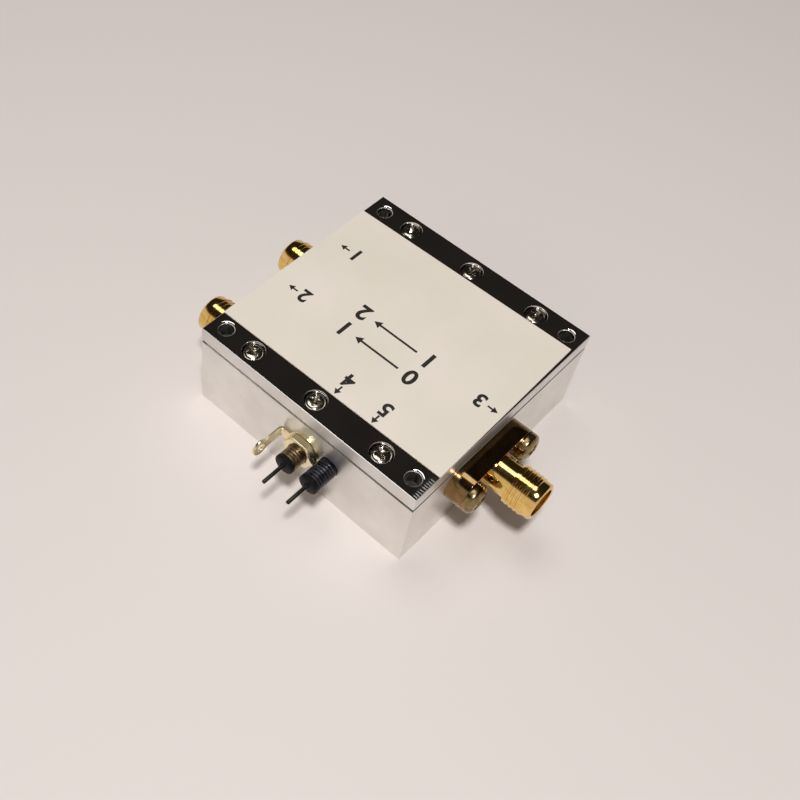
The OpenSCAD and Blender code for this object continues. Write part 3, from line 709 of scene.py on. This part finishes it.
# Port jacks
# Two shorter gold-plated jacks, without a flange, whose shanks screw into the opposite wall.

shank_r = 2.5 * MM
shank_from = -4 * MM
for name in ("port_1", "port_2"):
    node = name + "_jack_body"
    barrel = jack_barrel(shank_from, shank_r, 0, -wall_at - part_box(node)[0].x)
    barrel.transform(facing(node, "-X"))
    add_piece(name + "_jack", barrel, gold_plate, "housing", "gold_plate", node)


# Feedthroughs
# Threaded filter sleeves that screw in from the cavity, closed with black resin round a tinned
# pin. The supply one is dull brass, and the control one has a dark plating.

# Old plated brass is brown and blotchy, with broad soft glints.
dull_brass, tree, shader, place = new_material("dull_plated_brass", metallic=1, roughness=0.34)
mottle(tree, shader, place, 0.9, "9C8768", "5E5140", (0.3, 0.42))

# Dark nickel is a cold grey, nearly black, that still glints like metal.
dark_plate, tree, shader, place = new_material("dark_nickel_plate", metallic=1, roughness=0.32)
mottle(tree, shader, place, 0.9, "57565F", "2F2E36", (0.3, 0.42))

# Cast resin is black with a matt skin, and hardly glints.
resin, tree, shader, place = new_material("black_potting_resin", metallic=0, roughness=0.5)
shader.inputs["IOR"].default_value = 1.5
shader.inputs["Specular IOR Level"].default_value = 0.15
mottle(tree, shader, place, 0.6, "0E0D0D", "080707")

# Tin darkened to near black as painted shade, with a blurred line of light along the pin.
darkened_tin, tree, shader, place = new_material("darkened_tinned_pin", metallic=1, roughness=0.36)
mottle(tree, shader, place, 0.7, "3A3632", "24211F", (0.3, 0.42))

sleeve_r = 1.6 * MM
sleeve_bore_r = 1.17 * MM
sleeve_from = -6 * MM
inner_flange_r = 2.1 * MM
inner_flange_t = 1 * MM
feed_reach = 4.4 * MM
feed_pitch = 0.5 * MM
feed_thread_depth = 0.2 * MM
resin_r = 1.15 * MM
pin_r = 0.3 * MM
pin_reach = 8.5 * MM
tail_r = 0.49 * MM
tail_from = -8.4 * MM


def feed_sleeve():
    """The sleeve along +Z: inner flange, wall stretch, and thread with a chamfered end."""
    ease = 0.05 * MM
    flange_to = sleeve_from + inner_flange_t
    rows = [
        (sleeve_from, sleeve_bore_r), (sleeve_from, inner_flange_r - ease),
        (sleeve_from + ease, inner_flange_r), (flange_to - ease, inner_flange_r),
        (flange_to, inner_flange_r - ease), (flange_to, sleeve_r), (0, sleeve_r),
    ]
    rows += thread(
        0.02 * MM, feed_reach - 0.1 * MM, sleeve_r, feed_pitch, feed_thread_depth)
    rows += [
        (feed_reach - 0.08 * MM, sleeve_r - 0.2 * MM), (feed_reach, sleeve_r - 0.28 * MM),
        (feed_reach, sleeve_bore_r),
    ]
    return turned(rows, around=64, ring=True)


def resin_plug():
    """The resin along +Z: it fills the bore, runs over the sleeve's end and climbs the pin a
    little."""
    skirt_r = sleeve_r + 0.03 * MM
    crown_r = 0.65 * MM
    hole_r = 0.5 * MM
    rows = [
        (sleeve_from, hole_r), (sleeve_from, resin_r), (feed_reach - 0.02 * MM, resin_r),
        (feed_reach - 0.02 * MM, 1.3 * MM), (feed_reach - 0.7 * MM, sleeve_r - 0.1 * MM),
        (feed_reach - 0.7 * MM, skirt_r - 0.05 * MM), (feed_reach - 0.62 * MM, skirt_r),
    ]
    for i in range(1, 10):
        angle = math.radians(90 * i / 9)
        rows.append((feed_reach - 0.12 * MM + 0.32 * MM * math.sin(angle),
                     crown_r + (skirt_r - crown_r) * math.cos(angle)))
    rows += [
        (feed_reach + 0.25 * MM, pin_r + 0.17 * MM), (feed_reach + 0.4 * MM, pin_r + 0.07 * MM),
        (feed_reach + 0.6 * MM, pin_r + 0.01 * MM), (feed_reach + 0.6 * MM, pin_r - 0.02 * MM),
        (feed_reach - 0.2 * MM, pin_r - 0.02 * MM), (feed_reach - 0.2 * MM, hole_r),
    ]
    return turned(rows, around=48, ring=True)


def solder_pin():
    """The pin along +Z, with a rounded tip and a thicker tail inside the cavity."""
    rows = [
        (tail_from, 0.4 * MM), (tail_from + 0.1 * MM, tail_r),
        (feed_reach - 0.3 * MM, tail_r), (feed_reach - 0.25 * MM, pin_r),
        (pin_reach - 0.15 * MM, pin_r), (pin_reach - 0.05 * MM, pin_r * 0.8),
        (pin_reach, pin_r * 0.4),
    ]
    return turned(rows, around=32)


for name, metal, slot in (
        ("supply", dull_brass, "feed_brass"), ("control", dark_plate, "feed_dark")):
    at_wall = facing(name + "_feedthrough_body", "-Y")
    for part, mesh, material, part_slot in (
            ("body", feed_sleeve(), metal, slot), ("seal", resin_plug(), resin, "black_seal"),
            ("pin", solder_pin(), darkened_tin, "pin_metal")):
        mesh.transform(at_wall)
        add_piece(name + "_" + part, mesh, material, "housing", part_slot,
                  name + "_feedthrough_" + part)


# Nut and ground lug
# A thin gold-plated hexagon nut clamps a stamped lug on the supply feedthrough. The lug's arm
# lies on the wall and bends out into a solder tag with an eye.

# A flash of gold over nickel is a pale straw colour, nearly silver where it is worn.
pale_gold, tree, shader, place = new_material("pale_gold_flash", metallic=1, roughness=0.2)
mottle(tree, shader, place, 1, "F6EBC8", "E9DBAF", (0.16, 0.26))

nut_flats = 5 * MM
nut_from = 0.4 * MM
nut_t = 1.3 * MM
nut_bore_r = 1.62 * MM
nut_ease = 0.22 * MM


def hex_nut():
    """The nut along +Z, with its corners turned off at 30 degrees on both faces."""
    def row(height):
        room = min(height - nut_from, nut_from + nut_t - height)
        limit = nut_flats / 2 + room / math.tan(math.radians(30))
        lack = max(0, nut_ease - room)
        rounding = math.sqrt(nut_ease ** 2 - lack ** 2)

        def radius_at(angle):
            across = (angle + math.radians(30)) % math.radians(60) - math.radians(30)
            return min(limit, nut_flats / 2 / math.cos(across)) - nut_ease + rounding
        return (height, radius_at)
    steps = [0, 0.015, 0.04, 0.07, 0.11, 0.16, 0.22, 0.3]
    nut_to = nut_from + nut_t
    heights = [nut_from + s * MM for s in steps] + [nut_to - s * MM for s in reversed(steps)]
    bevel = 0.15 * MM
    rows = [(nut_from + bevel, nut_bore_r), (nut_from, nut_bore_r + bevel)]
    rows += [row(h) for h in heights]
    rows += [(nut_to, nut_bore_r + bevel), (nut_to - bevel, nut_bore_r)]
    return turned(rows, around=96, ring=True)


nut = hex_nut()
nut.transform(facing("supply_feedthrough_body", "-Y") @ spun((0, 0, 0), 30))
add_piece("hex_nut", nut, pale_gold, "housing", "gold_plate", "supply_feedthrough_nut")
add_piece("solder_lug", eased("ground_lug", 0.06, 2), pale_gold, "housing", "gold_plate",
          "ground_lug")


# Circuit board
# A glass-epoxy board with green solder mask and gold-plated copper lines, on four posts of the
# housing. Two tinned strips join it to the feedthroughs' tails.

# Cured mask is a glossy deep green, and the glass weave's 0.4 mm bumps dapple its glints.
board_green, tree, shader, place = new_material("green_solder_mask", metallic=0, roughness=0.3)
shader.inputs["IOR"].default_value = 1.5
mottle(tree, shader, place, 3, "1D5A33", "17492A")
grain(tree, shader, place, run_mm=0.4, width_mm=0.4, depth_mm=0.004)
add_piece("board_laminate", eased("circuit_board", 0.05, 1), board_green, "housing",
          "board_green", "circuit_board")
add_piece("board_copper", eased("board_tracks", 0.015, 1), contact_gold, "housing",
          "contact_gold", "board_tracks")

# Hot-dipped tin is bright and silvery, with cloudy patches.
solder_tin, tree, shader, place = new_material("tinned_copper", metallic=1, roughness=0.25)
mottle(tree, shader, place, 0.6, "CFCDC8", "B4B1AB", (0.2, 0.34))
for name in ("supply", "control"):
    add_piece(name + "_strip", eased(name + "_lead", 0.04, 2), solder_tin, "housing",
              "tinned_wire", name + "_lead")

board_head_h = 1.3 * MM
board_head_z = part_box("board_screws")[1].z - board_head_h
board_screw = screw(pan_head(1.8 * MM, board_head_h), 2 * MM, 0.4 * MM, -4 * MM,
                    (2 * MM, 0.5 * MM, 0.8 * MM))
board_screws = []
for n, (x, y) in enumerate(((13, 12), (13, -12), (-13, 12), (-11, -4.3))):
    board_screws.append((board_screw, spun((x * MM, y * MM, board_head_z), 20 + 33 * n)))
add_piece("board_screw_set", merged(board_screws), nickel_plate, "housing", "nickel_steel",
          "board_screws")


# Parts on the board
# Moulded chips with tinned legs, ceramic capacitors and thick-film resistors with tinned ends,
# and a drum choke wound with enamelled wire. Each is soldered to the board's face.

board_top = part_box("circuit_board")[1].z / MM
line_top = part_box("board_tracks")[1].z / MM


def brick(length, width, low, high, ease_mm, x=0):
    """A block with rounded edges, in millimetres, centred on the axis or that far along X."""
    half = Vector((length, width, 0)) / 2
    low_corner, high_corner = Vector((x, 0, low)) - half, Vector((x, 0, high)) + half
    return rounded(block(low_corner * MM, high_corner * MM), ease_mm, 2)


def solder_fillet(x, y, length, width, height):
    """A low dome of solder of that length, width and height, in millimetres."""
    angles = [math.radians(15 * i) for i in range(6)]
    dome = turned([(math.sin(a), math.cos(a)) for a in angles] + [(1, 0.02)], 24)
    dome.transform(Matrix.Translation(Vector((x, y, 0)) * MM)
                   @ Matrix.Diagonal((length / 2 * MM, width / 2 * MM, height * MM, 1)))
    return dome


def gull_leg(reach, top, width):
    """A chip's leg along +X, in millimetres, from inside the body down to a foot at z = 0."""
    strip_t = 0.18
    outline = [
        (-0.3, top - strip_t), (reach * 0.3, top - strip_t), (reach * 0.48, 0), (reach, 0),
        (reach, strip_t), (reach * 0.6, strip_t), (reach * 0.42, top), (-0.3, top),
    ]
    leg = from_sheet([(u * MM, v * MM) for u, v in outline], -width / 2 * MM, width / 2 * MM)
    leg.transform(Matrix.Rotation(math.pi / 2, 4, "X"))
    return rounded(leg, 0.05, 2)


def placed(x, y, z, turn=0):
    """A place on the board, in millimetres, with a turn in degrees."""
    return spun(Vector((x, y, z)) * MM, turn)


def moulding(length, width, low, high, dot):
    """A chip's moulded body, with a round pin-one dimple at that place on top."""
    dimple = turned([(high * MM - 0.08 * MM, 0.2 * MM), (high * MM + MM, 0.26 * MM)], 24)
    dimple.transform(Matrix.Translation((dot[0] * MM, dot[1] * MM, 0)))
    return carved(brick(length, width, low, high, 0.1), [dimple])


# Moulded epoxy is a matt charcoal with a fine grain from the mould.
moulded_epoxy, tree, shader, place = new_material(
    "moulded_black_epoxy", metallic=0, roughness=0.5)
shader.inputs["IOR"].default_value = 1.55
mottle(tree, shader, place, 0.8, "262629", "19191B", (0.42, 0.58))
grain(tree, shader, place, run_mm=0.08, width_mm=0.08, depth_mm=0.004)

# Fired ceramic is an even tan with a faint gloss.
tan_ceramic, tree, shader, place = new_material("tan_ceramic", metallic=0, roughness=0.4)
mottle(tree, shader, place, 0.7, "A9825A", "8E6A46", (0.35, 0.5))

# The glaze over a resistor is black and glossier than the chips.
glazed_black, tree, shader, place = new_material(
    "glazed_resistor_black", metallic=0, roughness=0.3)
mottle(tree, shader, place, 0.7, "222225", "151517", (0.22, 0.36))

# Pressed and sintered ferrite is a dull dark grey, slightly rough.
ferrite, tree, shader, place = new_material("sintered_ferrite", metallic=0, roughness=0.6)
mottle(tree, shader, place, 0.7, "3B3B3E", "2A2A2D", (0.5, 0.7))
grain(tree, shader, place, run_mm=0.1, width_mm=0.1, depth_mm=0.006)

# Enamel over copper wire deepens its red and keeps it shiny.
enamelled_copper, tree, shader, place = new_material(
    "enamelled_copper", metallic=1, roughness=0.25)
mottle(tree, shader, place, 0.5, "C0683C", "9C4E2A", (0.2, 0.32))

# Each chip has its dimple, length, width, underside and top, its place, and its legs: how far
# along, on which side, their reach and width. The switching chip has pads instead of legs.
switch_x, switch_y = 0.5, -4.3
leg_pitch = 1.27
driver_legs = [
    (i * leg_pitch, side, 1.05, 0.42) for i in (-1.5, -0.5, 0.5, 1.5) for side in (-1, 1)]
regulator_legs = [(-0.95, 1, 0.6, 0.4), (0.95, 1, 0.6, 0.4), (0, -1, 0.6, 0.4)]
tinned, solder = [], []
for node, dot, length, width, low, high, x, y, base, legs in (
        ("rf_switch_chip", (-1.5, 1.5), 4, 4, 0, 0.9, switch_x, switch_y, line_top, []),
        ("driver_chip", (-1.9, -1.4), 4.9, 3.9, 0.15, 1.5, 8.2, 5.2, board_top, driver_legs),
        ("voltage_regulator", (-1, -0.4), 2.9, 1.6, 0.1, 1.1, 9.3, -8.6, board_top,
         regulator_legs)):
    body = moulding(length, width, low, high, dot)
    body.transform(placed(x, y, base))
    add_piece(node + "_moulding", body, moulded_epoxy, "housing", "chip_black", node)
    for along, side, reach, wide in legs:
        root_y = y + side * width / 2
        leg = gull_leg(reach, high / 2, wide)
        tinned.append((leg, placed(x + along, root_y, board_top, 90 * side)))
        foot_y = root_y + side * reach * 0.9
        foot = solder_fillet(x + along, foot_y, wide * 1.5, reach * 0.7, 0.17)
        solder.append((foot, placed(0, 0, board_top)))
pad_pitch = 0.65
for n in range(-2, 3):
    for side in (-1, 1):
        shift = n * pad_pitch
        tinned.append((
            brick(0.3, 0.12, 0, 0.16, 0.02),
            placed(switch_x + shift, switch_y + side * 2, line_top)))
        tinned.append((
            brick(0.12, 0.3, 0, 0.16, 0.02),
            placed(switch_x + side * 2, switch_y + shift, line_top)))

# Each small part is 1.6 mm long with its tinned ends, and is given by its place and turn.
for node, material, slot, height, base, spots in (
        ("blocking_capacitors", tan_ceramic, "capacitor_tan", 0.8, line_top,
         ((7.5, -4.3, 0), (-8, 4.4, 0), (-8, -13, 0))),
        ("bypass_capacitors", tan_ceramic, "capacitor_tan", 0.8, board_top,
         ((-0.4, 0.4, 90), (2, 0.4, 90), (8.2, 9.8, 90), (11.9, -8.6, 90))),
        ("bias_resistors", glazed_black, "resistor_black", 0.45, board_top,
         ((1.5, 4.2, 90), (0, 4.2, 90), (-1.5, 4.2, 90)))):
    bodies = []
    for x, y, turn in spots:
        at_spot = placed(x, y, base, turn)
        bodies.append((brick(1.5, 0.74, 0.03, height - 0.03, 0.04), at_spot))
        run = Vector((1, 0, 0)) if turn == 0 else Vector((0, 1, 0))
        for side in (-1, 1):
            tinned.append((brick(0.3, 0.8, 0, height, 0.06, side * 0.65), at_spot))
            end = side * 0.75 * run
            fillet = solder_fillet(0, 0, 0.9, 0.85, 0.55 * height)
            tinned.append((fillet, placed(x + end.x, y + end.y, base, turn)))
    add_piece(node + "_ceramics", merged(bodies), material, "housing", slot, node)
add_piece("soldered_ends", merged(tinned + solder), solder_tin, "housing", "tinned_wire")

at_choke = placed(3.4, -8, board_top)
drum_top = turned([
    (1.5 * MM, 1.2 * MM), (1.52 * MM, 1.24 * MM), (1.75 * MM, 1.24 * MM), (1.8 * MM, 1.15 * MM)])
drum_core = turned([(0.2 * MM, 0.7 * MM), (1.6 * MM, 0.7 * MM)])
drum_base = brick(2.5, 2.5, 0, 0.3, 0.08)
drum = merged([(part, at_choke) for part in (drum_top, drum_core, drum_base)])
add_piece("supply_choke_drum", drum, ferrite, "housing", "ferrite_grey", "supply_choke")
wire_r, winding_r = 0.1, 0.86
wire_angles = [math.radians(180 - 30 * i) for i in range(12)]
windings = []
for n in range(6):
    middle = 0.4 + (n + 0.5) * 2 * wire_r
    winding = turned([
        ((middle + wire_r * math.cos(a)) * MM, (winding_r + wire_r * math.sin(a)) * MM)
        for a in wire_angles], 48, ring=True)
    windings.append((winding, at_choke))
add_piece("supply_choke_winding", merged(windings), enamelled_copper, "housing", None)


# Table and light
# A pale matt table top. One soft lamp on the camera's side gives the short shadows, and a wide
# weak one above gives the long glints on the round metal. The room is dark above and behind the
# box, which fills the lid and the upper sides of the gold, and pale lower down and in front.

# Matt laminate is an even warm white that shows soft shadows and no image.
matt_laminate, tree, shader, place = new_material(
    "matt_table_laminate", metallic=0, roughness=0.6)
shader.inputs["Base Color"].default_value = linear("DCD3CE")

floor_half = 1.5
floor_corners = [
    (x * floor_half, y * floor_half, 0) for x, y in ((-1, -1), (1, -1), (1, 1), (-1, 1))]
floor_mesh = bpy.data.meshes.new("table_top")
floor_mesh.from_pydata(floor_corners, [], [(0, 1, 2, 3)])
floor_mesh.materials.append(matt_laminate)
table_top = bpy.data.objects.new("table_top", floor_mesh)
table_top.location.z = cad_box[0].z
bpy.context.scene.collection.objects.link(table_top)


def lamp(name, direction, distance, spread, power):
    """A round lamp in that direction from the box, of that angular size in degrees."""
    data = bpy.data.lights.new(name, "AREA")
    data.shape = "DISK"
    data.size = 2 * distance * math.tan(math.radians(spread / 2))
    data.energy = power
    light = bpy.data.objects.new(name, data)
    light.location = Vector(direction).normalized() * distance
    light.rotation_mode = "QUATERNION"
    light.rotation_quaternion = Vector(direction).to_track_quat("Z", "Y")
    bpy.context.scene.collection.objects.link(light)


lamp("key_lamp", (0.19, -0.28, 0.94), distance=0.55, spread=9, power=2.3)
lamp("back_lamp", (-0.31, 0.108, 0.945), distance=0.6, spread=29, power=0.64)

dark_side = (0, 0.292, 0.956)
room = bpy.data.worlds.new("room")
room.use_nodes = True
bpy.context.scene.world = room
tree = room.node_tree
sky = add_node(tree, "TexCoord").outputs["Generated"]
towards_dark = add_node(
    tree, "VectorMath", {0: sky, 1: dark_side}, operation="DOT_PRODUCT").outputs["Value"]
gradient = add_node(tree, "ValToRGB", {"Fac": towards_dark})
stops = gradient.color_ramp.elements
stops[0].position, stops[0].color = 0.0, linear("DCD3CE")
stops[1].position, stops[1].color = 0.5, linear("26221F")
for position, colour in ((0.3, "D0C8C3"), (0.4, "5A534E")):
    stop = stops.new(position)
    stop.color = linear(colour)
tree.links.new(gradient.outputs["Color"], tree.nodes["Background"].inputs["Color"])
